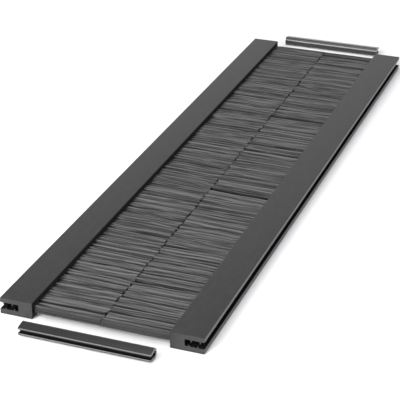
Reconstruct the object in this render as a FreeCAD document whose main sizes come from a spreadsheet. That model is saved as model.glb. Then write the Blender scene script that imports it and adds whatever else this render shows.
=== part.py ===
import FreeCAD, Part
import os
import random
import Sketcher

# A brush cable entry for a long cut-out in sheet metal, in millimetres.
# Two rails push onto the long edges of the cut-out with the barbed slots in their outer sides.
# Each rail holds a strip of bristles, and the two strips meet in the middle of the opening.
# Two short edge trims, for the short edges of the cut-out, lie loose at the ends of the set.
# +X runs right across the set, +Y runs back along the rails, +Z is up and the set lies on Z = 0.

DRIVING_SIZES = {
    # Rails
    "rail_length": 450.0,
    "rail_width": 19.8,
    "rail_height": 10.0,
    "rail_edge_radius": 0.4,
    "opening_width": 82.0,
    "slot_height": 4.1,
    "slot_depth": 11.4,
    "slot_floor": 3.1,
    "slot_mouth_radius": 0.25,
    # Barbs inside the slots
    "barb_width": 1.0,
    "barb_lean": 0.35,
    "barb_spacing": 5.2,
    "lower_barb_height": 1.3,
    "lower_barb_place": 2.6,
    "upper_barb_height": 1.8,
    "upper_barb_place": 3.9,
    # Brush strip: a steel channel closed over bristles that are folded round a wire
    "brush_height": 5.1,
    "end_wall": 1.0,
    "face_wall": 1.2,
    "channel_depth": 4.8,
    "channel_height": 4.6,
    "channel_sheet": 0.5,
    "channel_corner": 1.0,
    "channel_mouth": 2.9,
    "channel_pinch": 1.4,
    "channel_play": 0.05,
    "wire_diameter": 1.4,
    "wire_play": 0.05,
    "fold_wall": 0.95,
    # Bristles
    "bristle_end_play": 0.3,
    "bristle_thickness": 3.1,
    "bristle_play": 0.2,
    "neck_thickness": 2.7,
    "left_bristle_shift": 0.1,
    "right_bristle_shift": -0.2,
    "tuft_pitch": 5.0,
    "tuft_unevenness": 0.35,
    "ridge_depth": 0.5,
    "seam_shift": -0.6,
    "seam_gap": 0.5,
    "tip_step": 0.6,
    "split_width": 0.4,
    "split_length": 16.0,
    "parting_width": 1.1,
    "parting_place": -47.0,
    # Edge trims and where they lie
    "trim_length": 77.9,
    "trim_depth": 8.5,
    "trim_height": 6.4,
    "trim_mouth": 4.4,
    "trim_wall": 1.25,
    "trim_back_radius": 2.8,
    "trim_knee_radius": 3.0,
    "trim_lip_radius": 0.5,
    "trim_fin_height": 0.75,
    "trim_fin_width": 0.8,
    "trim_fin_lean": 0.6,
    "trim_fin_place": 2.2,
    "trim_fin_spacing": 2.0,
    "trim_shift": -1.45,
    "front_gap": 10.3,
    "rear_gap": 19.7,
}

# The rails lie off the origin, so that the origin is under the middle of the whole set.
RAILS_CENTRE = "(Sizes.front_gap - Sizes.rear_gap) / 2"
CHANNEL_LENGTH = "Sizes.rail_length - 2 * Sizes.end_wall - 2 * Sizes.channel_play"
HALF_OPENING = "Sizes.opening_width / 2"
BRISTLE_LENGTH = "Sizes.rail_length - 2 * Sizes.end_wall - 2 * Sizes.bristle_end_play"
# How far the outline of the brush cavity reaches out of the face that it opens.
PAST_THE_FACE = "1"
# The largest share of a trim's height that the rounding of its back may take.
BACK_SHARE = 0.44

SIDES = {"left": -1, "right": 1}
QUARTER_TURN = 90
HALF_TURN = 180

# Ranges of chance in the bristles, each a share of the size that it goes with.
RIDGE_SLOPE = (0.2, 0.35)
CREST_LOSS = (0, 0.3)
VALLEY_DEPTH = (0.6, 1)
SPLIT_REACH = (0.4, 1)
TUFTS_PER_SPLIT = 2


doc = FreeCAD.newDocument("brush_cable_entry")


def make_sheet():
    """Write each driving size in a row of its own, with its name as the alias."""
    sheet = doc.addObject("Spreadsheet::Sheet", "Sizes")
    for row, (name, size) in enumerate(DRIVING_SIZES.items(), start=1):
        sheet.set(f"A{row}", name)
        sheet.set(f"B{row}", str(size))
        sheet.setAlias(f"B{row}", name)
    doc.recompute()
    return sheet


sheet = make_sheet()


def size(expression):
    """Give the number that an expression on the sheet stands for."""
    return float(sheet.evalExpression(expression))


def new_body(label):
    body = doc.addObject("PartDesign::Body", label)
    body.Label = label
    return body


def new_sketch(body, plane_role, name):
    """Add a sketch on one of the body's own origin planes."""
    sketch = body.newObject("Sketcher::SketchObject", name)
    plane = next(plane for plane in body.Origin.OriginFeatures if plane.Role == plane_role)
    sketch.AttachmentSupport = [(plane, "")]
    sketch.MapMode = "FlatFace"
    return sketch


def draw_outline(sketch, corners):
    """Draw a closed outline; a corner is (across, up) or (across, up, rounding radius)."""
    count = len(corners)
    points = [FreeCAD.Vector(size(corner[0]), size(corner[1]), 0) for corner in corners]
    for index in range(count):
        sketch.addGeometry(Part.LineSegment(points[index], points[(index + 1) % count]), False)
    for index in range(count):
        sketch.addConstraint(Sketcher.Constraint("Coincident", index, 2, (index + 1) % count, 1))
    for index, corner in enumerate(corners):
        bind(sketch, Sketcher.Constraint("DistanceX", -1, 1, index, 1, points[index].x), corner[0])
        bind(sketch, Sketcher.Constraint("DistanceY", -1, 1, index, 1, points[index].y), corner[1])
    for index, corner in enumerate(corners):
        if len(corner) == 3:
            arc = sketch.GeometryCount
            sketch.fillet(index, 1, size(corner[2]), True, True)
            bind(sketch, Sketcher.Constraint("Radius", arc, size(corner[2])), corner[2])


def bind(sketch, constraint, expression):
    """Add a constraint that takes its value from the sheet."""
    number = sketch.addConstraint(constraint)
    if "Sizes." in expression:
        sketch.setExpression(f"Constraints[{number}]", expression)


def pad_both_ways(body, sketch, length, name):
    pad = body.newObject("PartDesign::Pad", name)
    pad.Profile = sketch
    pad.SideType = "Symmetric"
    pad.setExpression("Length", length)
    return pad


def pocket_both_ways(body, sketch, length, name):
    pocket = body.newObject("PartDesign::Pocket", name)
    pocket.Profile = sketch
    pocket.SideType = "Symmetric"
    pocket.setExpression("Length", length)
    return pocket


def place(part, across, along, up, turn):
    """Turn a piece about the vertical and bind where it goes to the sheet."""
    part.Placement = FreeCAD.Placement(FreeCAD.Vector(), FreeCAD.Rotation(FreeCAD.Vector(0, 0, 1), turn))
    part.setExpression("Placement.Base.x", across)
    part.setExpression("Placement.Base.y", along)
    part.setExpression("Placement.Base.z", up)


def side_turn(side):
    """Pieces of the right side are drawn as they lie; the left side has them turned end for end."""
    return 0 if SIDES[side] > 0 else HALF_TURN


def barb(place_in_slot, root_height, tip_height, inward):
    """Give the three corners of a barb that stands on the slot's floor or roof, leaning inwards.

    The corners run towards the slot's inner end, or away from it where inward is false.
    """
    middle = f"Sizes.rail_width - Sizes.slot_depth + {place_in_slot}"
    corners = [
        (f"{middle} + Sizes.barb_width / 2", root_height),
        (f"{middle} - Sizes.barb_lean", tip_height),
        (f"{middle} - Sizes.barb_width / 2", root_height),
    ]
    return corners if inward else corners[::-1]


def rail_section():
    """A solid bar with a barbed slot in its outer side, seen along the rail."""
    roof = "Sizes.slot_floor + Sizes.slot_height"
    low_tip = "Sizes.slot_floor + Sizes.lower_barb_height"
    high_tip = f"{roof} - Sizes.upper_barb_height"
    low_second = "Sizes.lower_barb_place + Sizes.barb_spacing"
    high_second = "Sizes.upper_barb_place + Sizes.barb_spacing"
    slot_end = "Sizes.rail_width - Sizes.slot_depth"
    return [
        ("0", "0", "Sizes.rail_edge_radius"),
        ("Sizes.rail_width", "0", "Sizes.rail_edge_radius"),
        ("Sizes.rail_width", "Sizes.slot_floor", "Sizes.slot_mouth_radius"),
        *barb(low_second, "Sizes.slot_floor", low_tip, True),
        *barb("Sizes.lower_barb_place", "Sizes.slot_floor", low_tip, True),
        (slot_end, "Sizes.slot_floor"),
        (slot_end, roof),
        *barb("Sizes.upper_barb_place", roof, high_tip, False),
        *barb(high_second, roof, high_tip, False),
        ("Sizes.rail_width", roof, "Sizes.slot_mouth_radius"),
        ("Sizes.rail_width", "Sizes.rail_height", "Sizes.rail_edge_radius"),
        ("0", "Sizes.rail_height", "Sizes.rail_edge_radius"),
    ]


def cavity_section():
    """The space for the channel, with a narrower mouth that the bristles come out of."""
    mouth = "(Sizes.bristle_thickness / 2 + Sizes.bristle_play)"
    half = "(Sizes.channel_height / 2 + Sizes.channel_play)"
    back = "Sizes.face_wall + Sizes.channel_depth + 2 * Sizes.channel_play"
    corner = "Sizes.channel_corner + Sizes.channel_play"
    return [
        (f"-{PAST_THE_FACE}", f"Sizes.brush_height - {mouth}"),
        ("Sizes.face_wall", f"Sizes.brush_height - {mouth}"),
        ("Sizes.face_wall", f"Sizes.brush_height - {half}"),
        (back, f"Sizes.brush_height - {half}", corner),
        (back, f"Sizes.brush_height + {half}", corner),
        ("Sizes.face_wall", f"Sizes.brush_height + {half}"),
        ("Sizes.face_wall", f"Sizes.brush_height + {mouth}"),
        (f"-{PAST_THE_FACE}", f"Sizes.brush_height + {mouth}"),
    ]


def make_rail(side):
    """A moulded rail: the bar, then the closed-ended cavity for the brush strip in its inner side."""
    rail = new_body(f"{side}_rail")
    section = new_sketch(rail, "XZ_Plane", "RailSection")
    draw_outline(section, rail_section())
    pad_both_ways(rail, section, "Sizes.rail_length", "RailBar")
    cavity = new_sketch(rail, "XZ_Plane", "CavitySection")
    draw_outline(cavity, cavity_section())
    pocket_both_ways(rail, cavity, "Sizes.rail_length - 2 * Sizes.end_wall", "BrushCavity")
    place(rail, f"{SIDES[side]} * {HALF_OPENING}", RAILS_CENTRE, "0", side_turn(side))
    return rail


def channel_section():
    """A folded channel with its two lips pinched in towards the bristles."""
    half = "Sizes.channel_height / 2"
    inner_half = f"({half} - Sizes.channel_sheet)"
    lip = "Sizes.channel_mouth / 2"
    outer_lip = f"({lip} + Sizes.channel_sheet)"
    floor = "Sizes.channel_depth - Sizes.channel_sheet"
    inner_corner = "Sizes.channel_corner - Sizes.channel_sheet"
    return [
        ("0", f"-{outer_lip}"),
        ("Sizes.channel_pinch", f"-{half}"),
        ("Sizes.channel_depth", f"-{half}", "Sizes.channel_corner"),
        ("Sizes.channel_depth", half, "Sizes.channel_corner"),
        ("Sizes.channel_pinch", half),
        ("0", outer_lip),
        ("0", lip),
        ("Sizes.channel_pinch", inner_half),
        (floor, inner_half, inner_corner),
        (floor, f"-{inner_half}", inner_corner),
        ("Sizes.channel_pinch", f"-{inner_half}"),
        ("0", f"-{lip}"),
    ]


def make_channel(side):
    channel = new_body(f"{side}_brush_channel")
    section = new_sketch(channel, "XZ_Plane", "ChannelSection")
    draw_outline(section, channel_section())
    pad_both_ways(channel, section, CHANNEL_LENGTH, "FoldedChannel")
    across = f"{SIDES[side]} * ({HALF_OPENING} + Sizes.face_wall + Sizes.channel_play)"
    place(channel, across, RAILS_CENTRE, "Sizes.brush_height", side_turn(side))
    return channel


# The wire lies at the bottom of the fold, which touches the channel's floor.
FOLD_RADIUS = "(Sizes.wire_diameter / 2 + Sizes.wire_play + Sizes.fold_wall)"
WIRE_DEPTH = (
    "(Sizes.face_wall + Sizes.channel_play + Sizes.channel_depth - Sizes.channel_sheet"
    f" - Sizes.channel_play - {FOLD_RADIUS})"
)


def make_wire(side):
    wire = doc.addObject("Part::Cylinder", f"{side}_core_wire")
    wire.Label = f"{side}_core_wire"
    wire.setExpression("Radius", "Sizes.wire_diameter / 2")
    wire.setExpression("Height", CHANNEL_LENGTH)
    along = FreeCAD.Rotation(FreeCAD.Vector(1, 0, 0), -QUARTER_TURN)
    wire.Placement = FreeCAD.Placement(FreeCAD.Vector(), along)
    wire.setExpression("Placement.Base.x", f"{SIDES[side]} * ({HALF_OPENING} + {WIRE_DEPTH})")
    wire.setExpression("Placement.Base.y", f"{RAILS_CENTRE} - ({CHANNEL_LENGTH}) / 2")
    wire.setExpression("Placement.Base.z", "Sizes.brush_height")
    return wire


def tuft_edges(chance):
    """Share the strip's length out into tufts of uneven width and give the lines between them."""
    length = size(BRISTLE_LENGTH)
    spread = size("Sizes.tuft_unevenness")
    count = max(2, round(length / size("Sizes.tuft_pitch")))
    widths = [1 + chance.uniform(-spread, spread) for _ in range(count)]
    edges = [-length / 2]
    for width in widths:
        edges.append(edges[-1] + width * length / sum(widths))
    return edges


def ridged_bar(edges, start, reach, chance):
    """A bar along X whose top and bottom have one low, flat-topped ridge for each tuft."""
    crest = size("Sizes.bristle_thickness") / 2
    ridge = size("Sizes.ridge_depth")

    def ridge_line(sign):
        points = []
        for near, far in zip(edges, edges[1:]):
            slope = (far - near) * chance.uniform(*RIDGE_SLOPE)
            top = crest - ridge * chance.uniform(*CREST_LOSS)
            valley = crest - ridge * chance.uniform(*VALLEY_DEPTH)
            points += [(near, valley), (near + slope, top), (far - slope, top)]
        points.append((edges[-1], valley))
        return [FreeCAD.Vector(start, y, sign * z) for y, z in points]

    outline = ridge_line(1) + ridge_line(-1)[::-1]
    face = Part.Face(Part.makePolygon(outline + outline[:1]))
    return face.extrude(FreeCAD.Vector(reach - start, 0, 0))


def plan_outline(edges, start, reach, parting, chance):
    """The strip from above: tufts with uneven tips, split apart here and there from the tips inwards.

    The parting is the number of the tuft after which the strip is open down to the rail, or None.
    """
    step = size("Sizes.tip_step")
    split = size("Sizes.split_width") / 2
    split_length = size("Sizes.split_length")
    parting_half = size("Sizes.parting_width") / 2
    corners = [(start, edges[0])]
    for index, (near, far) in enumerate(zip(edges, edges[1:])):
        tip = reach - step * chance.random()
        depth = split_length * chance.uniform(*SPLIT_REACH)
        corners += [(tip, corners[-1][1]), (tip, far)]
        if far == edges[-1]:
            break
        if index == parting:
            corners[-1] = (tip, far - parting_half)
            corners += [(0, far - parting_half), (0, far + parting_half)]
        elif index % TUFTS_PER_SPLIT == 0 and parting not in (index - 1, index + 1):
            corners[-1] = (tip, far - split)
            corners += [(tip - depth, far - split), (tip - depth, far + split)]
    corners += [(start, edges[-1])]
    return corners


def bristle_shape(side):
    """Bristles folded round the wire, as one solid drawn from the rail's inner face towards +X."""
    chance = random.Random(side)
    edges = tuft_edges(chance)
    length = size(BRISTLE_LENGTH)
    thickness = size("Sizes.bristle_thickness")
    start = -size("Sizes.face_wall")
    reach = size(f"{HALF_OPENING} - Sizes.seam_gap / 2") - SIDES[side] * size("Sizes.seam_shift")
    parting = nearest_edge(edges, -size("Sizes.parting_place")) - 1 if side == "right" else None

    corners = plan_outline(edges, start, reach, parting, chance)
    points = [FreeCAD.Vector(x, y, -thickness) for x, y in corners]
    plan = Part.Face(Part.makePolygon(points + points[:1])).extrude(FreeCAD.Vector(0, 0, 2 * thickness))
    tufts = ridged_bar(edges, start, reach, chance).common(plan)

    depth = size(WIRE_DEPTH)
    neck_thickness = size("Sizes.neck_thickness")
    begin = FreeCAD.Vector(-depth, -length / 2, 0)
    along = FreeCAD.Vector(0, 1, 0)
    fold = Part.makeCylinder(size(FOLD_RADIUS), length, begin, along)
    bore = Part.makeCylinder(size("Sizes.wire_diameter / 2 + Sizes.wire_play"), length, begin, along)
    neck_corner = begin - FreeCAD.Vector(0, 0, neck_thickness / 2)
    neck = Part.makeBox(depth + start, length, neck_thickness, neck_corner)
    return fold.fuse(neck).cut(bore).fuse(tufts)


def nearest_edge(edges, y):
    return min(range(len(edges)), key=lambda index: abs(edges[index] - y))


def make_bristles(side):
    """The right strip is turned end for end, so its own +X runs from its rail to the left."""
    bristles = doc.addObject("Part::Feature", f"{side}_bristles")
    bristles.Label = f"{side}_bristles"
    bristles.Shape = bristle_shape(side)
    across = f"{SIDES[side]} * {HALF_OPENING}"
    along = f"{RAILS_CENTRE} + Sizes.{side}_bristle_shift"
    place(bristles, across, along, "Sizes.brush_height", HALF_TURN - side_turn(side))
    return bristles


def trim_fins(sign):
    """Corners of the two gripping fins on one inner face of a trim, from the mouth inwards.

    The sign is empty for the upper face and a minus for the lower one.
    """
    opening = "(Sizes.trim_mouth / 2 - Sizes.trim_wall)"
    rise = "(Sizes.trim_height - Sizes.trim_mouth) / 2 / (Sizes.trim_depth - Sizes.trim_wall)"
    corners = []
    for number in (0, 1):
        root = f"(Sizes.trim_fin_place + {number} * Sizes.trim_fin_spacing)"
        tip = f"({root} + Sizes.trim_fin_lean + Sizes.trim_fin_width / 2)"
        far = f"({root} + Sizes.trim_fin_width)"
        corners += [
            (root, f"{sign}({opening} + {rise} * {root})"),
            (tip, f"{sign}({opening} + {rise} * {tip} - Sizes.trim_fin_height)"),
            (far, f"{sign}({opening} + {rise} * {far})"),
        ]
    return corners


def trim_section():
    """A push-on edge trim: two flanges that close towards the mouth, a round back and gripping fins."""
    half = "Sizes.trim_height / 2"
    mouth = "Sizes.trim_mouth / 2"
    knee = f"Sizes.trim_depth - {half}"
    floor = "Sizes.trim_depth - Sizes.trim_wall"
    inner_half = f"({half} - Sizes.trim_wall)"
    inner_mouth = f"({mouth} - Sizes.trim_wall)"
    back = f"min(Sizes.trim_back_radius; Sizes.trim_height * {BACK_SHARE})"
    inner_back = f"max({back} - Sizes.trim_wall; Sizes.trim_wall / 4)"
    return [
        ("0", f"-{mouth}", "Sizes.trim_lip_radius"),
        (knee, f"-{half}", "Sizes.trim_knee_radius"),
        ("Sizes.trim_depth", f"-{half}", back),
        ("Sizes.trim_depth", half, back),
        (knee, half, "Sizes.trim_knee_radius"),
        ("0", mouth, "Sizes.trim_lip_radius"),
        ("0", inner_mouth, "Sizes.trim_lip_radius"),
        *trim_fins(""),
        (floor, inner_half, inner_back),
        (floor, f"-{inner_half}", inner_back),
        *trim_fins("-")[::-1],
        ("0", f"-{inner_mouth}", "Sizes.trim_lip_radius"),
    ]


def make_trim(label, end):
    """A trim lies across one end of the set, with its back to the brush and its mouth away from it."""
    trim = new_body(label)
    section = new_sketch(trim, "YZ_Plane", "TrimSection")
    draw_outline(section, trim_section())
    pad_both_ways(trim, section, "Sizes.trim_length", "TrimBar")
    gap = "Sizes.front_gap" if end < 0 else "Sizes.rear_gap"
    along = f"{RAILS_CENTRE} + {end} * (Sizes.rail_length / 2 + {gap} + Sizes.trim_depth)"
    place(trim, "Sizes.trim_shift", along, "Sizes.trim_height / 2", 0 if end < 0 else HALF_TURN)
    return trim


def make_all():
    """Build every piece and give them as one list."""
    pieces = []
    for side in SIDES:
        pieces += [make_rail(side), make_channel(side), make_wire(side), make_bristles(side)]
    pieces += [make_trim("front_edge_trim", -1), make_trim("rear_edge_trim", 1)]
    doc.recompute()
    return pieces


def check(pieces):
    """Stop with a message if anything in the document failed."""
    for item in doc.Objects:
        if "Invalid" in item.State or "Error" in item.State:
            raise RuntimeError(f"{item.Label} failed: {item.State}")
    for piece in pieces:
        if piece.Shape.isNull() or not piece.Shape.isValid():
            raise RuntimeError(f"{piece.Label} has no valid shape")
        if len(piece.Shape.Solids) != 1:
            raise RuntimeError(f"{piece.Label} has {len(piece.Shape.Solids)} solids")


CHECKED_STEPS = ("PartDesign::Pad", "PartDesign::Pocket")


def check_cavities(pieces):
    """Stop if a rail's cavity took nothing away from its bar."""
    for piece in pieces:
        if piece.Label.endswith("_rail"):
            bar, cavity = [step for step in piece.Group if step.TypeId in CHECKED_STEPS]
            if cavity.Shape.Volume >= bar.Shape.Volume:
                raise RuntimeError(f"the cavity of {piece.Label} cuts nothing")


def export(pieces):
    os.makedirs("parts", exist_ok=True)
    for piece in pieces:
        piece.Shape.exportStep(f"parts/{piece.Label}.step")
        box = piece.Shape.BoundBox
        print(f"{piece.Label}: {piece.Shape.Volume:.1f} mm3, {len(piece.Shape.Faces)} faces,"
              f" x {box.XMin:.2f} to {box.XMax:.2f}, y {box.YMin:.2f} to {box.YMax:.2f},"
              f" z {box.ZMin:.2f} to {box.ZMax:.2f}")


pieces = make_all()
check(pieces)
check_cavities(pieces)
export(pieces)
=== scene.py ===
import math

import bpy
import numpy as np
from mathutils import Matrix, Vector


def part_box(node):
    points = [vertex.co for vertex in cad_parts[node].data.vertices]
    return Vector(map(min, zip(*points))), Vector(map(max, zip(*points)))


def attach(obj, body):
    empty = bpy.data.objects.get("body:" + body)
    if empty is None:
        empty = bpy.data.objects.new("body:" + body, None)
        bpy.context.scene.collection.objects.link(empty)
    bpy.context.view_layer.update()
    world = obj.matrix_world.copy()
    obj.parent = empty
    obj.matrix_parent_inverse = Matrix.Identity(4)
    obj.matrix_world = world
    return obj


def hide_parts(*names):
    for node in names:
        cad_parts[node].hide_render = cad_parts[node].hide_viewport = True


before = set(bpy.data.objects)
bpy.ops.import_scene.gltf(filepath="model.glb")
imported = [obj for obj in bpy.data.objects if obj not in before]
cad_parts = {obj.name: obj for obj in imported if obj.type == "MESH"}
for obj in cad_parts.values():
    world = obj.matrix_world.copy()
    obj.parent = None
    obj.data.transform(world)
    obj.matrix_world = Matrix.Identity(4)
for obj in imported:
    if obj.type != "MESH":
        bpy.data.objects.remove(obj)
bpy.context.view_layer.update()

MM = 0.001


# Materials

# Nearly all values of a noise lie in this range.
NOISE_RANGE = (0.3, 0.7)
# All greys are a touch blue.
BLUENESS = 1.015


def new_material(name):
    """Make an empty node material and give it with its tree and its shader."""
    material = bpy.data.materials.new(name)
    material.use_nodes = True
    tree = material.node_tree
    return material, tree, tree.nodes["Principled BSDF"]


def stretched_position(tree, stretch):
    """Object coordinates in metres, multiplied along each axis."""
    coordinates = tree.nodes.new("ShaderNodeTexCoord")
    mapping = tree.nodes.new("ShaderNodeMapping")
    mapping.inputs["Scale"].default_value = stretch
    tree.links.new(coordinates.outputs["Object"], mapping.inputs["Vector"])
    return mapping.outputs["Vector"]


def noise(tree, position, scale, detail=3.0, roughness=0.5):
    """The value of a noise at a position; a larger scale makes it finer."""
    texture = tree.nodes.new("ShaderNodeTexNoise")
    texture.inputs["Scale"].default_value = scale
    texture.inputs["Detail"].default_value = detail
    texture.inputs["Roughness"].default_value = roughness
    tree.links.new(position, texture.inputs["Vector"])
    return texture.outputs["Fac"]


def grey_ramp(tree, shader, value, stops):
    """Colour a material by a value; stops are (value, grey)."""
    ramp = tree.nodes.new("ShaderNodeValToRGB")
    elements = ramp.color_ramp.elements
    while len(elements) < len(stops):
        elements.new(stops[-1][0])
    for element, (position, grey) in zip(elements, stops):
        element.position = position
        element.color = (grey, grey, grey * BLUENESS, 1.0)
    tree.links.new(value, ramp.inputs["Fac"])
    tree.links.new(ramp.outputs["Color"], shader.inputs["Base Color"])


def vary_grey(tree, shader, value, dark, pale):
    """Colour a material between two greys by a noise."""
    grey_ramp(tree, shader, value, list(zip(NOISE_RANGE, (dark, pale))))


def vary_roughness(tree, shader, value, least, most):
    """Vary a material between two roughnesses by a noise."""
    node = tree.nodes.new("ShaderNodeMapRange")
    node.inputs["From Min"].default_value, node.inputs["From Max"].default_value = NOISE_RANGE
    node.inputs["To Min"].default_value = least
    node.inputs["To Max"].default_value = most
    tree.links.new(value, node.inputs["Value"])
    tree.links.new(node.outputs["Result"], shader.inputs["Roughness"])


def add_bump(tree, shader, height, strength, distance):
    """Raise and lower a material's surface by a noise."""
    bump = tree.nodes.new("ShaderNodeBump")
    bump.inputs["Strength"].default_value = strength
    bump.inputs["Distance"].default_value = distance
    tree.links.new(height, bump.inputs["Height"])
    tree.links.new(bump.outputs["Normal"], shader.inputs["Normal"])


def rail_plastic():
    """Satin black moulding with a fine grain and a faint mottle."""
    material, tree, shader = new_material("rail_plastic")
    position = stretched_position(tree, (1.0, 0.35, 1.0))
    mottle = noise(tree, position, scale=320.0, detail=5.0, roughness=0.8)
    grain = noise(tree, position, scale=2600.0, detail=2.0, roughness=0.6)
    vary_grey(tree, shader, mottle, dark=0.016, pale=0.029)
    vary_roughness(tree, shader, grain, least=0.28, most=0.36)
    shader.inputs["Specular IOR Level"].default_value = 0.42
    add_bump(tree, shader, grain, strength=0.25, distance=0.06 * MM)
    return material


def painted_shade_plastic(name, dark, pale, sheen):
    """Painted shade: darker, rougher plastic with less sheen, for slots and for sides that face the
    bristles.
    """
    material, tree, shader = new_material(name)
    tooth = noise(tree, stretched_position(tree, (1.0, 0.2, 1.0)), scale=1800.0, roughness=0.6)
    vary_grey(tree, shader, tooth, dark, pale)
    vary_roughness(tree, shader, tooth, least=0.75, most=0.9)
    shader.inputs["Specular IOR Level"].default_value = sheen
    add_bump(tree, shader, tooth, strength=0.3, distance=0.05 * MM)
    return material


def trim_plastic():
    """Smooth extruded plastic, glossier than the rails, with faint die lines along its length."""
    material, tree, shader = new_material("trim_plastic")
    die_lines = noise(tree, stretched_position(tree, (2.0, 900.0, 900.0)), scale=1.0, detail=2.0)
    cloud = noise(tree, stretched_position(tree, (1.0, 1.0, 1.0)), scale=90.0)
    vary_grey(tree, shader, cloud, dark=0.008, pale=0.011)
    vary_roughness(tree, shader, cloud, least=0.42, most=0.48)
    shader.inputs["Specular IOR Level"].default_value = 0.2
    shader.inputs["Coat Weight"].default_value = 1.0
    shader.inputs["Coat Roughness"].default_value = 0.24
    add_bump(tree, shader, die_lines, strength=0.05, distance=0.03 * MM)
    return material


def mesh_value(tree, name):
    """A value that the mesh carries at each of its points."""
    node = tree.nodes.new("ShaderNodeAttribute")
    node.attribute_name = name
    return node.outputs["Fac"]


def bristle_fibre():
    """Dark monofilament: each tuft and fibre has its own tone, with streaks along it; the tone also carries
    painted shade and light.
    """
    material, tree, shader = new_material("bristle_fibre")
    streaks = noise(tree, stretched_position(tree, (18.0, 1500.0, 1500.0)), scale=1.0, detail=1.0)
    mixed = tree.nodes.new("ShaderNodeMix")
    mixed.inputs["Factor"].default_value = 0.2
    tree.links.new(mesh_value(tree, "tone"), mixed.inputs["A"])
    tree.links.new(streaks, mixed.inputs["B"])
    grey_ramp(tree, shader, mixed.outputs["Result"], [(0.1, 0.003), (0.5, 0.036), (0.95, 0.12)])
    vary_roughness(tree, shader, streaks, least=0.36, most=0.48)
    shader.inputs["Specular IOR Level"].default_value = 0.4
    add_bump(tree, shader, streaks, strength=0.15, distance=0.03 * MM)
    return material


def painted_shade_core():
    """Painted shade: the inside of the tufts, drawn far darker than their fibres, seen only in the splits
    between them.
    """
    material, tree, shader = new_material("painted_shade_core")
    strands = noise(tree, stretched_position(tree, (12.0, 2600.0, 2600.0)), scale=1.0, detail=2.0)
    grey_ramp(tree, shader, strands, [(0.35, 0.004), (0.65, 0.010)])
    shader.inputs["Roughness"].default_value = 0.8
    shader.inputs["Specular IOR Level"].default_value = 0.25
    add_bump(tree, shader, strands, strength=0.6, distance=0.2 * MM)
    return material


def galvanised_steel(name, dark, pale):
    """Drawn steel with a zinc coat and fine lines along its length."""
    material, tree, shader = new_material(name)
    drawn = noise(tree, stretched_position(tree, (1500.0, 12.0, 1500.0)), scale=1.0)
    vary_grey(tree, shader, drawn, dark, pale)
    vary_roughness(tree, shader, drawn, least=0.28, most=0.42)
    shader.inputs["Metallic"].default_value = 1.0
    add_bump(tree, shader, drawn, strength=0.1, distance=0.03 * MM)
    return material


def floor_paper():
    """Plain white studio paper with a hardly visible tooth."""
    material, tree, shader = new_material("floor_paper")
    tooth = noise(tree, stretched_position(tree, (1.0, 1.0, 1.0)), scale=700.0)
    vary_grey(tree, shader, tooth, dark=0.93, pale=0.95)
    shader.inputs["Roughness"].default_value = 0.9
    shader.inputs["Specular IOR Level"].default_value = 0.1
    return material


# Bristles: places that come from the frame

rail_low, rail_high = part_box("right_rail")
RAILS_MIDDLE = (rail_low.y + rail_high.y) / 2
HALF_OPENING = rail_low.x
left_low, left_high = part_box("left_bristles")
right_low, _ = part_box("right_bristles")
SEAM = right_low.x
BRUSH_HEIGHT = (left_low.z + left_high.z) / 2

# Bristles: the strip

# The visible part is thinner than the fold in the channel, which the box of the node measures.
HALF_THICKNESS = 1.6 * MM
THINNER_AT_TIPS = 0.05
ROOT_DEPTH = 1.0 * MM
SEAM_GAP = 0.3 * MM
# Shares of a bristle's length at which it may bend; they lie closer together at the rail.
STATIONS = np.array([0.0, 0.04, 0.08, 0.16, 0.3, 0.45, 0.6, 0.8, 0.985, 1.0])

# Bristles: tufts. A tone of 0.5 is a middle grey; a pair of values is the least and the most.

MIDDLE_TONE = 0.5
TUFT_WIDTH = 2.7 * MM
# Shares of that width, and how much of its width a tuft fills.
TUFT_WIDTHS = (0.5, 1.5)
TUFT_FILLING = (0.94, 1.08)
TUFT_RISE = (-0.2 * MM, 0.14 * MM)
TUFT_TONE = 0.24
TUFT_WAVE = 0.16 * MM
TUFT_WAVE_LENGTH = (30 * MM, 70 * MM)
TUFT_HEAVE = 0.16 * MM
# How far the tips of a tuft stand past the strip's edge, and how often each of these comes.
TIP_STEPS = (0.3 * MM, -0.02 * MM, -0.18 * MM, -0.55 * MM)
TIP_STEP_ODDS = (0.4, 0.22, 0.2, 0.18)
STREAK_WIDTH = 0.8 * MM
STREAKS_TO_SPARE = 2
# Shares of a bristle's length between which the tone of a streak changes evenly.
STREAK_KNOTS = np.linspace(0.0, 1.0, 6)
LASTING_STREAK_TONE = 0.18
PASSING_STREAK_TONE = 0.38

# The smallest clump, and one more than the largest.
TUFTS_IN_CLUMP = (1, 5)
CLUMP_GAP = (0.0 * MM, 1.0 * MM)
CLUMP_LEAN = 0.6 * MM
# How much of a clump's lean the next one takes over, and how the lean grows towards the seam.
LEAN_KEPT = 0.55
LEAN_CURVE = 1.3
CLUMP_PINCH = (0.0, 0.1)
CLUMP_WAVE = (0.05 * MM, 0.3 * MM)
CLUMP_WAVE_LENGTH = (30 * MM, 80 * MM)
CLUMP_RISE = 0.06 * MM

ROOT_PINCH = 0.6
ROOT_PINCH_LENGTH = 2.2 * MM
ROOT_RISE = (-0.35 * MM, 0.4 * MM)
# Painted shade and light at the roots, from the lowest tuft in the mouth to the highest.
ROOT_PAINTED_SHADING = (-0.7, 1.0)

PARTING_AT_RAIL = -49.3 * MM
PARTING_AT_SEAM = -47.6 * MM
PARTING_WIDTH = 3.0 * MM
# Painted shade: how much darker the flanks beside the parting are drawn.
PARTING_PAINTED_SHADE = 0.5
# How much of the shift each tuft takes, from the parting outwards, and what is left of its wave.
PARTING_SHIFTS = (1.0, 0.7, 0.4, 0.15)
PARTING_WAVE = 0.3

# The outermost tuft at each end, and the one inside it, which lies lower and closer to it.
END_WAVE = 0.03 * MM
END_TIP_STEP = 0.1 * MM
END_TONE = -0.1
SECOND_CLOSER = 0.25
SECOND_RISE = -0.12 * MM
SECOND_TONE = -0.06


def wave(distance, length, start):
    """A wave along the bristles that is zero where they leave the rail."""
    return np.sin(math.tau * distance / length + start) - np.sin(start)


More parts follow.
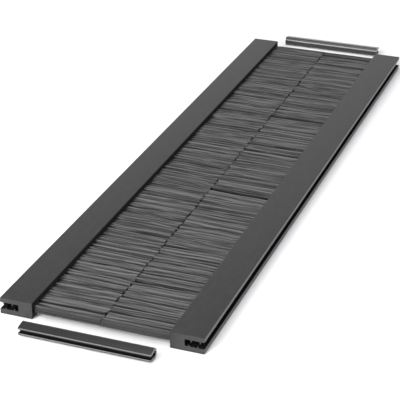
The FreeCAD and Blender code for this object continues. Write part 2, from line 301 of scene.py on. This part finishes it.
class Strip:
    """One strip of bristles: where its tufts are and how they wander from their rail to the seam."""

    def __init__(self, side, seed):
        self.side = side
        self.random = np.random.default_rng(seed)
        self.sign = 1.0 if side == "left" else -1.0
        self.root = -self.sign * HALF_OPENING
        self.reach = HALF_OPENING + self.sign * SEAM - SEAM_GAP / 2
        low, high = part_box(f"{side}_bristles")
        self.share_out(low.y, high.y)
        self.gather()
        # Tufts come out of the rail's mouth at different heights; painted shade and light draw lower roots
        # darker, higher lighter.
        height_in_mouth = np.random.default_rng(seed + 1).uniform(0, 1, self.count)
        self.root_rise = np.interp(height_in_mouth, (0, 1), ROOT_RISE)
        self.root_painted_shading = np.interp(height_in_mouth, (0, 1), ROOT_PAINTED_SHADING)
        self.parted = ()
        if side == "right":
            self.part()
        self.square_ends()

    def share_out(self, low, high):
        """Divide the strip into tufts of uneven width and height."""
        draw = self.random.uniform
        count = round((high - low) / TUFT_WIDTH)
        widths = draw(*TUFT_WIDTHS, count)
        widths *= (high - low) / widths.sum()
        edges = low + np.concatenate([[0.0], np.cumsum(widths)])
        self.low = low
        self.count = count
        self.middle = (edges[1:] + edges[:-1]) / 2
        self.half_width = widths / 2 * draw(*TUFT_FILLING, count)
        self.rise = draw(*TUFT_RISE, count)
        # Neighbours differ more than tufts that are further apart.
        self.tone = np.diff(draw(-TUFT_TONE, TUFT_TONE, count + 1))
        self.wave = draw(0.0, TUFT_WAVE, count)
        self.wave_length = draw(*TUFT_WAVE_LENGTH, count)
        self.wave_start = draw(0, math.tau, count)
        self.heave = draw(0.0, TUFT_HEAVE, count)
        self.tip_step = self.random.choice(TIP_STEPS, count, p=TIP_STEP_ODDS)
        # Streaks finer than a tuft: one tone lasts along the bristles, the other comes and goes.
        streaks = int((high - low) / STREAK_WIDTH) + STREAKS_TO_SPARE
        lasting = draw(-LASTING_STREAK_TONE, LASTING_STREAK_TONE, (streaks + 1, 1))
        passing = draw(-PASSING_STREAK_TONE, PASSING_STREAK_TONE, (streaks + 1, len(STREAK_KNOTS)))
        at_stations = [np.interp(STATIONS, STREAK_KNOTS, knot) for knot in np.eye(len(STREAK_KNOTS))]
        self.streaks = np.diff(lasting, axis=0) + np.diff(passing, axis=0) @ np.array(at_stations)

    def gather(self):
        """Gather neighbouring tufts into clumps that lean, wave and close up together."""
        draw = self.random.uniform
        self.lean, self.pinch, self.clump_middle = np.zeros((3, self.count))
        self.clump_wave, self.clump_wave_length, self.clump_wave_start = np.zeros((3, self.count))
        lean, start = 0.0, 0
        while start < self.count:
            end = min(self.count, start + self.random.integers(*TUFTS_IN_CLUMP))
            here = slice(start, end)
            lean = LEAN_KEPT * lean + draw(-CLUMP_LEAN, CLUMP_LEAN)
            self.lean[here] = lean
            self.pinch[here] = draw(*CLUMP_PINCH)
            centre = self.middle[here].mean()
            self.clump_middle[here] = centre
            closer = 1.0 - draw(*CLUMP_GAP) / (self.half_width[here].sum() * 2)
            self.middle[here] = centre + (self.middle[here] - centre) * closer
            self.half_width[here] *= closer
            self.clump_wave[here] = draw(*CLUMP_WAVE)
            self.clump_wave_length[here] = draw(*CLUMP_WAVE_LENGTH)
            self.clump_wave_start[here] = draw(0, math.tau)
            self.rise[here] += draw(-CLUMP_RISE, CLUMP_RISE)
            start = end

    def part(self):
        """Open one dark gap from the seam to the rail between two straight tufts."""
        place = RAILS_MIDDLE + PARTING_AT_RAIL
        after = int(np.argmax(self.middle > place))
        before = after - 1
        self.parted = (before, after)
        shift = place - (self.middle[before] + self.middle[after]) / 2
        # Each side gives half of the gap: its tuft moves for two thirds of that and narrows for the rest.
        moved = PARTING_WIDTH / 3
        narrowed = PARTING_WIDTH / 2 - moved
        for nearest, way in ((before, -1), (after, 1)):
            self.half_width[nearest] -= narrowed
            for step, share in enumerate(PARTING_SHIFTS):
                tuft = nearest + way * step
                self.middle[tuft] += share * (shift + way * moved)
                self.lean[tuft] = PARTING_AT_SEAM - PARTING_AT_RAIL
                self.wave[tuft] *= PARTING_WAVE
                self.clump_wave[tuft] = 0.0
                self.pinch[tuft] = 0.0

    def square_ends(self):
        """The two outermost tufts at each end run straight, because the strip is cut square there."""
        ends = [0, 1, -2, -1]
        for values in (self.lean, self.clump_wave, self.pinch, self.rise, self.heave):
            values[ends] = 0.0
        self.wave[ends] = END_WAVE
        self.tip_step[ends] = END_TIP_STEP
        for outer, inner in ((0, 1), (-1, -2)):
            self.tone[outer] = END_TONE
            self.tone[inner] = SECOND_TONE
            self.rise[inner] = SECOND_RISE
            self.middle[inner] += SECOND_CLOSER * (self.middle[outer] - self.middle[inner])

    def between_others(self, tufts):
        """Which of the tufts have others on both sides."""
        return (tufts > 0) & (tufts < self.count - 1)

    def streak_tone(self, tufts, across):
        """The tone of the streaks at every station of fibres that start at given places in their tufts."""
        place = self.middle[tufts] + across * self.half_width[tufts] - self.low
        return self.streaks[np.clip((place / STREAK_WIDTH).astype(int), 0, len(self.streaks) - 1)]

    def drift(self, tufts, share):
        """How far a tuft has wandered along the rail, at a share of the bristles' length."""
        distance = share * self.reach
        own = wave(distance, self.wave_length[tufts], self.wave_start[tufts])
        shared = wave(distance, self.clump_wave_length[tufts], self.clump_wave_start[tufts])
        closing = (self.clump_middle[tufts] - self.middle[tufts]) * self.pinch[tufts] * share
        return (
            self.lean[tufts] * share**LEAN_CURVE
            + self.wave[tufts] * own
            + self.clump_wave[tufts] * shared
            + closing
        )

    def place(self, tufts, across, up, reach):
        """Points of strands at all stations; across and up are their places in the tuft's section."""
        share = STATIONS[None, :]
        tufts = tufts[:, None]
        distance = -ROOT_DEPTH + share * (reach[:, None] + ROOT_DEPTH)
        at_root = np.exp(-np.clip(distance, 0.0, None) / ROOT_PINCH_LENGTH)
        free = 1.0 - at_root
        width = self.half_width[tufts] * (1.0 - ROOT_PINCH * at_root - self.pinch[tufts] * share)
        height = HALF_THICKNESS * (1.0 - THINNER_AT_TIPS * share**2)
        # A tuft heaves at the length of its wave but out of step with it.
        swell = np.sin(math.tau * distance / self.wave_length[tufts] + 2 * self.wave_start[tufts])
        lift = self.root_rise[tufts] * at_root + (self.rise[tufts] + self.heave[tufts] * swell) * free
        x = self.root + self.sign * distance
        y = self.middle[tufts] + self.drift(tufts, share) + across[:, None] * width
        z = BRUSH_HEIGHT + lift + up[:, None] * height
        return np.stack([x, y, z], axis=2)


# Bristles: their meshes

FIBRE_SIDES = 3
FIBRE_RADIUS = 0.15 * MM
FIBRE_PITCH = 0.27 * MM
QUAD = 4


def mesh_piece(strip, kind, points, faces, tone, material):
    """Make a mesh of tubes that rides with the set and stands for the strip's CAD node."""
    name, node = f"{strip.side}_{kind}", f"{strip.side}_bristles"
    mesh = bpy.data.meshes.new(name)
    corners = np.concatenate([part.ravel() for part in faces])
    sizes = np.concatenate([np.full(len(part), part.shape[1]) for part in faces])
    starts = np.concatenate([[0], np.cumsum(sizes)[:-1]])
    mesh.vertices.add(len(points))
    mesh.vertices.foreach_set("co", points.astype(np.float32).ravel())
    mesh.loops.add(len(corners))
    mesh.loops.foreach_set("vertex_index", corners.astype(np.int32))
    mesh.polygons.add(len(sizes))
    mesh.polygons.foreach_set("loop_start", starts.astype(np.int32))
    mesh.update(calc_edges=True)
    # The ends of the tubes are flat, so that they don't spoil the shading of the last stretch.
    mesh.polygons.foreach_set("use_smooth", sizes == QUAD)
    tones = mesh.attributes.new("tone", "FLOAT", "POINT")
    tones.data.foreach_set("value", tone.astype(np.float32))
    mesh.materials.append(material)
    piece = bpy.data.objects.new(name, mesh)
    bpy.context.scene.collection.objects.link(piece)
    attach(piece, "root")
    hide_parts(node)


def skin(rings, sign):
    """Side and end faces for closed tubes, given as rings of points: tube, station, side."""
    count, stations, sides = rings
    index = np.arange(count * stations * sides).reshape(count, stations, sides)
    turned = np.roll(index, -1, axis=2)
    quads = np.stack([index[:, :-1], turned[:, :-1], turned[:, 1:], index[:, 1:]], axis=-1)
    quads = quads.reshape(-1, QUAD)
    caps = np.concatenate([index[:, 0, ::-1], index[:, -1]])
    # Tubes that run towards -X are turned over, so that they look outwards.
    return (quads[:, ::-1], caps[:, ::-1]) if sign < 0 else (quads, caps)


def fibre_piece(strip, kind, centres, tone, material):
    """Thin closed tubes round lines of points that run along X."""
    count, stations, _ = centres.shape
    # One edge of each tube points up.
    angles = np.linspace(0, math.tau, FIBRE_SIDES, endpoint=False) + math.pi / 2
    ring = np.stack([np.zeros(FIBRE_SIDES), np.cos(angles), np.sin(angles)], axis=1)
    points = (centres[:, :, None, :] + FIBRE_RADIUS * ring).reshape(-1, 3)
    faces = skin((count, stations, FIBRE_SIDES), strip.sign)
    mesh_piece(strip, kind, points, faces, np.repeat(tone, FIBRE_SIDES, axis=1).ravel(), material)


# Powers that shape the section of a tuft: 1 is an ellipse, a smaller one a squarer form.
TUFT_SHAPE = 0.75
END_SHAPE = 0.4
SECTION_STEPS = 720


def section(angles, power):
    """A rounded rectangle of half width and half height 1."""
    across = np.sign(np.cos(angles)) * abs(np.cos(angles)) ** power
    up = np.sign(np.sin(angles)) * abs(np.sin(angles)) ** power
    return across, up


def spread(count, power, half_width, wander):
    """Places at even distances round a section, each moved by a share of its distance to the next."""
    across, up = section(np.linspace(0, math.tau, SECTION_STEPS + 1), power)
    steps = np.hypot(np.diff(across) * half_width, np.diff(up) * HALF_THICKNESS)
    length = np.concatenate([[0.0], np.cumsum(steps)])
    places = (np.arange(count) + 0.5 + wander) / count * length[-1]
    return np.interp(places, length, across), np.interp(places, length, up)


# A share of the distance from one fibre to the next.
FIBRE_WANDER = 0.3
# Levels are shares of a tuft's half height. Below this one its fibres would lie hidden in a groove.
GROOVE_LEVEL = 0.3
FIBRE_LEVEL = (0.96, 1.02)
# Between rail and tip a fibre's own wave turns by so many radians.
FIBRE_TURN = (3, 8)
FIBRE_SWING = (0.01 * MM, 0.07 * MM)
FIBRE_LIFT = (0.0, 0.04 * MM)
FIBRE_TONE = 0.12
# Painted light and shade: tuft crests drawn lighter, flanks in the grooves darker.
CREST_PAINTED_SHADING = 1.2
CREST_LEVEL = 0.75
PARTING_FLANK = 0.5
# Tips that stand out further than this touch the other strip.
TOUCHING_STEP = 0.2 * MM
TOUCHING_TIPS = (-0.1 * MM, 0.35 * MM)
FREE_TIPS = (-0.05 * MM, 0.02 * MM)


def fibre_swing(draw, count):
    """A gentle wave for each fibre, which grows from nothing at the rail."""
    turn = draw(*FIBRE_TURN, (count, 1))
    start = draw(0, math.tau, (count, 1))
    return np.sin(STATIONS * turn + start) * STATIONS


def fibre_places(strip, tuft, way):
    """Where fibres lie in the section of one tuft, over its top (way 1) or its bottom (way -1)."""
    outermost = tuft in (0, strip.count - 1)
    around = math.pi * (strip.half_width[tuft] + HALF_THICKNESS)
    count = int(around / FIBRE_PITCH)
    wander = strip.random.uniform(-FIBRE_WANDER, FIBRE_WANDER, count)
    shape = END_SHAPE if outermost else TUFT_SHAPE
    across, up = spread(count, shape, strip.half_width[tuft], wander)
    # Above and below together cover the outermost tufts all round, because their sides can be seen.
    wanted = way * up > (0.0 if outermost else GROOVE_LEVEL)
    return across[wanted], up[wanted]


def tuft_tones(strip, tufts, across, up):
    """Tones of the tufts' fibres at every station, with painted shade and light in the grooves, at the
    parting and at the roots.
    """
    inner = strip.between_others(tufts)
    # Painted light and shade: the crest of a tuft is drawn lighter and its flanks in the grooves darker.
    crest_painted_shading = CREST_PAINTED_SHADING * (abs(up) - CREST_LEVEL) * inner
    own = strip.random.uniform(-FIBRE_TONE, FIBRE_TONE, len(tufts))
    tone = MIDDLE_TONE + strip.tone[tufts] + crest_painted_shading + own
    # Painted shade: the flanks of the two tufts that face the parting are drawn darker.
    for tuft, way_out in zip(strip.parted, (1, -1)):
        tone[(tufts == tuft) & (across * way_out > PARTING_FLANK)] -= PARTING_PAINTED_SHADE
    # Painted shade and light at the roots, fading away from the rail.
    fading = np.exp(-STATIONS * strip.reach / ROOT_PINCH_LENGTH)
    at_root = strip.root_painted_shading[tufts][:, None] * fading
    return tone[:, None] + at_root + strip.streak_tone(tufts, across) * inner[:, None]


def tuft_fibres(strip, way):
    """Fibres over the top (way 1) or the bottom (way -1) of all tufts, and their tones."""
    places = [fibre_places(strip, tuft, way) for tuft in range(strip.count)]
    across, up = map(np.concatenate, zip(*places))
    tufts = np.repeat(np.arange(strip.count), [len(side) for side, _ in places])
    count = len(tufts)
    draw = strip.random.uniform
    # Where a tuft touches the other strip, its tips push in between those of the other one.
    touching, free = draw(*TOUCHING_TIPS, count), draw(*FREE_TIPS, count)
    ragged = np.where(strip.tip_step[tufts] > TOUCHING_STEP, touching, free)
    reach = strip.reach + strip.tip_step[tufts] + ragged
    centres = strip.place(tufts, across, up * draw(*FIBRE_LEVEL, count), reach)
    swing = fibre_swing(draw, count) * strip.between_others(tufts)[:, None]
    centres[:, :, 1] += swing * draw(*FIBRE_SWING, (count, 1))
    centres[:, :, 2] += np.roll(swing, 1, axis=0) * draw(*FIBRE_LIFT, (count, 1)) * way
    return centres, tuft_tones(strip, tufts, across, up)


LOOSE_DENSITY = 1.2 / MM
# The share of loose fibres that lie on top.
LOOSE_ABOVE = 0.62
LOOSE_ACROSS = 0.9
LOOSE_LEVEL = (0.98, 1.06)
LOOSE_TIPS = (-0.35 * MM, 0.0 * MM)
LOOSE_DRIFT = 0.6 * MM
LOOSE_CURVE = 1.6
LOOSE_SWING = 0.12 * MM
LOOSE_TONE = 0.3


def loose_fibres(strip):
    """Single fibres that lie on top of and under the tufts and drift from one to the next."""
    count = int((strip.middle[-1] - strip.middle[0]) * LOOSE_DENSITY)
    draw = strip.random.uniform
    tufts = strip.random.integers(1, strip.count - 1, count)
    # Those that would lie beside the parting go to the second tuft, so that none crosses it.
    tufts[np.isin(tufts, strip.parted)] = 1
    up = np.where(draw(0, 1, count) < LOOSE_ABOVE, 1.0, -1.0)
    across = draw(-LOOSE_ACROSS, LOOSE_ACROSS, count)
    reach = strip.reach + strip.tip_step[tufts] + draw(*LOOSE_TIPS, count)
    centres = strip.place(tufts, across, up * draw(*LOOSE_LEVEL, count), reach)
    centres[:, :, 1] += draw(-LOOSE_DRIFT, LOOSE_DRIFT, (count, 1)) * STATIONS**LOOSE_CURVE
    centres[:, :, 1] += fibre_swing(draw, count) * LOOSE_SWING
    tone = MIDDLE_TONE + strip.tone[tufts] + draw(-LOOSE_TONE, LOOSE_TONE, count)
    return centres, tone[:, None] + strip.streak_tone(tufts, across)


CORE_SIDES = 12
CORE_HEIGHT = 0.86
CORE_SHORTER = 0.3 * MM
CORE_OVERLAP = 0.9 * MM
CORE_INSET = 0.2 * MM
# Points less than this share of the half height from the middle are a core's waist.
CORE_WAIST = 0.1


def tuft_cores(strip, material):
    """A closed body in each tuft, drawn in painted shade; its waist reaches into the next tufts and closes
    the splits.
    """
    angles = np.linspace(0, math.tau, CORE_SIDES, endpoint=False)
    across, up = section(angles, TUFT_SHAPE)
    tufts = np.repeat(np.arange(strip.count), CORE_SIDES)
    across, up = np.tile(across, strip.count), np.tile(up, strip.count)
    outwards = ((tufts == 0) & (across < 0)) | ((tufts == strip.count - 1) & (across > 0))
    wider = np.where((abs(up) < CORE_WAIST) & ~outwards, CORE_OVERLAP, -CORE_INSET)
    across *= 1.0 + wider / strip.half_width[tufts]
    reach = strip.reach + strip.tip_step[tufts] - CORE_SHORTER
    lines = strip.place(tufts, across, up * CORE_HEIGHT, reach)
    rings = lines.reshape(strip.count, CORE_SIDES, len(STATIONS), 3).transpose(0, 2, 1, 3)
    faces = skin(rings.shape[:3], strip.sign)
    points = rings.reshape(-1, 3)
    mesh_piece(strip, "tuft_cores", points, faces, np.zeros(len(points)), material)


# What chance starts from in each strip.
SEEDS = {"left": 11, "right": 23}


def make_strip(side, seed, fibre_material, core_material):
    """Make the fibres and cores of one strip."""
    strip = Strip(side, seed)
    fibre_piece(strip, "tufts_above", *tuft_fibres(strip, 1), fibre_material)
    fibre_piece(strip, "tufts_below", *tuft_fibres(strip, -1), fibre_material)
    fibre_piece(strip, "loose_bristles", *loose_fibres(strip), fibre_material)
    tuft_cores(strip, core_material)


# Finish of the pieces that stay as they are in the frame

SMOOTH_LIMIT = math.cos(math.radians(35))
# Split vertices that are this close are one place.
SAME_PLACE = 0.001 * MM


def smooth(data):
    """Even out the normals over bends of less than 35 degrees, also where the mesh has split vertices."""
    corners_at = {}
    for face in data.polygons:
        places = [data.vertices[vertex].co for vertex in face.vertices]
        neighbours = zip(places[-1:] + places[:-1], places[1:] + places[:1])
        for loop, place, (before, after) in zip(face.loop_indices, places, neighbours):
            angle = (before - place).angle(after - place, 0.0)
            key = tuple(round(c / SAME_PLACE) for c in place)
            corners_at.setdefault(key, []).append((loop, face.normal.copy(), angle))
    normals = [None] * len(data.loops)
    for corners in corners_at.values():
        for loop, normal, _ in corners:
            near = [other * angle for _, other, angle in corners if other.dot(normal) > SMOOTH_LIMIT]
            normals[loop] = sum(near, Vector()).normalized()
    data.shade_smooth()
    data.normals_split_custom_set(normals)


def dress(node, *materials):
    """Give a node its materials and smooth shading that stops at its edges."""
    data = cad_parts[node].data
    data.materials.clear()
    for material in materials:
        data.materials.append(material)
    smooth(data)
    return data


def dress_by_place(node, choose, *materials):
    """Give each face the material that a rule chooses for its middle."""
    data = dress(node, *materials)
    centres = np.empty(len(data.polygons) * 3, np.float32)
    data.polygons.foreach_get("center", centres)
    chosen = [choose(*centre) for centre in centres.reshape(-1, 3)]
    data.polygons.foreach_set("material_index", chosen)


# An allowance for rounding.
HAIR = 0.02 * MM

trim_low, trim_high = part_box("front_edge_trim")
TRIM_MIDDLE = (trim_low.z + trim_high.z) / 2
TRIM_LIP = 0.6 * MM
TRIM_FLOOR = 7.3 * MM
# Half way through the wall of the mouth, which leans outwards from its lips.
TRIM_WALL = 1.57 * MM
TRIM_WALL_SLOPE = 0.16


# Part 1 of a trim is drawn in painted shade.
def trim_part(x, y, z):
    """Part 1 is the inside of a trim's mouth behind its lips, part 0 all the rest."""
    if not trim_low.x + HAIR < x < trim_high.x - HAIR:
        return 0
    # The mouths of both trims open away from the brush.
    depth = abs(abs(y) + trim_low.y)
    wall = TRIM_WALL + TRIM_WALL_SLOPE * depth
    return 1 if TRIM_LIP < depth < TRIM_FLOOR and abs(z - TRIM_MIDDLE) < wall else 0


SLOT_DEPTH = 11.4 * MM
SLOT_FLOOR = 3.1 * MM
SLOT_ROOF = 7.2 * MM


# Parts 1 and 2 of a rail are drawn in painted shade.
def rail_part(x, y, z):
    """Part 1 is a rail's panel slot, part 2 the side that the bristles come out of, part 0 all the rest."""
    if not rail_low.y + HAIR < y < rail_high.y - HAIR:
        return 0
    deep = rail_high.x - SLOT_DEPTH - HAIR < abs(x) < rail_high.x - HAIR
    if deep and SLOT_FLOOR - HAIR < z < SLOT_ROOF + HAIR:
        return 1
    return 2 if abs(abs(x) - HALF_OPENING) < HAIR else 0


# Studio: lengths in metres, powers in watts

FLOOR_HALF = 6.0
FLOOR_BELOW = 0.2 * MM
WORLD_STRENGTH = 0.24
# The name, place, width, height and power of each soft box.
LIGHTS = (
    ("key", (-0.36, -1.05, 1.15), 1.2, 1.0, 12.0),
    ("tall_strip", (-0.48, -1.4, 0.6), 0.45, 1.2, 22.0),
    ("low_strip", (-0.5, -1.3, 0.17), 0.5, 0.32, 2.0),
    ("front_low", (0.3, -1.1, 0.3), 0.4, 0.5, 4.3),
    ("overhead", (0.0, 0.2, 1.9), 1.2, 1.2, 15.6),
    ("back_wall", (-0.5, 2.0, 0.5), 1.8, 1.8, 4.75),
    ("right_low", (1.9, -0.6, 0.9), 0.9, 0.9, 4.0),
)


def make_floor():
    """A large sheet of paper just under the set."""
    mesh = bpy.data.meshes.new("floor")
    signs = ((-1, -1), (1, -1), (1, 1), (-1, 1))
    mesh.from_pydata([(x * FLOOR_HALF, y * FLOOR_HALF, 0) for x, y in signs], [], [(0, 1, 2, 3)])
    mesh.materials.append(floor_paper())
    floor = bpy.data.objects.new("floor", mesh)
    floor.location.z = -FLOOR_BELOW
    bpy.context.scene.collection.objects.link(floor)


def area_light(name, place, width, height, power):
    """A soft box that looks at the middle of the set."""
    lamp = bpy.data.lights.new(name, "AREA")
    lamp.shape = "RECTANGLE"
    lamp.size = width
    lamp.size_y = height
    lamp.energy = power
    light = bpy.data.objects.new(name, lamp)
    light.location = place
    light.rotation_mode = "QUATERNION"
    light.rotation_quaternion = (-Vector(place)).to_track_quat("-Z", "Y")
    bpy.context.scene.collection.objects.link(light)


def light_studio():
    """White surroundings, and the soft boxes that give the rails and trims their reflections."""
    world = bpy.data.worlds.new("studio")
    world.use_nodes = True
    background = world.node_tree.nodes["Background"]
    background.inputs["Color"].default_value = (1.0, 1.0, 1.0, 1.0)
    background.inputs["Strength"].default_value = WORLD_STRENGTH
    bpy.context.scene.world = world
    for light in LIGHTS:
        area_light(*light)
    bpy.context.scene.view_settings.view_transform = "Standard"


CAMERA_PLACE = (0.27614, -0.81866, 0.40459)
CAMERA_RIGHT = (0.93718, 0.34884, 0.00300)
CAMERA_BACK = (0.31094, -0.83919, 0.44617)
CAMERA_LENS = 125.44
SENSOR_WIDTH = 36.0


def make_camera():
    """The photograph's view: a long lens from the front right, a little over 26 degrees up."""
    data = bpy.data.cameras.new("camera")
    data.lens = CAMERA_LENS
    data.sensor_width = SENSOR_WIDTH
    data.clip_start = 0.05
    data.clip_end = 50.0
    camera = bpy.data.objects.new("camera", data)
    right = Vector(CAMERA_RIGHT).normalized()
    back = Vector(CAMERA_BACK).normalized()
    up = back.cross(right)
    turn = Matrix((right, up, back)).transposed().to_4x4()
    camera.matrix_world = Matrix.Translation(CAMERA_PLACE) @ turn
    bpy.context.scene.collection.objects.link(camera)
    bpy.context.scene.camera = camera


make_camera()
light_studio()
make_floor()

rail = rail_plastic()
# Painted shade for the rails' slots, their sides that face the bristles and the trims' mouths.
slot_painted_shade = painted_shade_plastic("rail_slot_painted_shade", dark=0.004, pale=0.007, sheen=0.12)
brush_side_painted_shade = painted_shade_plastic("rail_brush_side_painted_shade", dark=0.011, pale=0.015, sheen=0.3)
for name in ("left_rail", "right_rail"):
    dress_by_place(name, rail_part, rail, slot_painted_shade, brush_side_painted_shade)
trim = trim_plastic()
for name in ("front_edge_trim", "rear_edge_trim"):
    dress_by_place(name, trim_part, trim, slot_painted_shade)
channel = galvanised_steel("channel_steel", dark=0.42, pale=0.60)
wire = galvanised_steel("wire_steel", dark=0.40, pale=0.52)
for side in ("left", "right"):
    dress(f"{side}_brush_channel", channel)
    dress(f"{side}_core_wire", wire)

fibre = bristle_fibre()
core = painted_shade_core()
for side, seed in SEEDS.items():
    make_strip(side, seed, fibre, core)
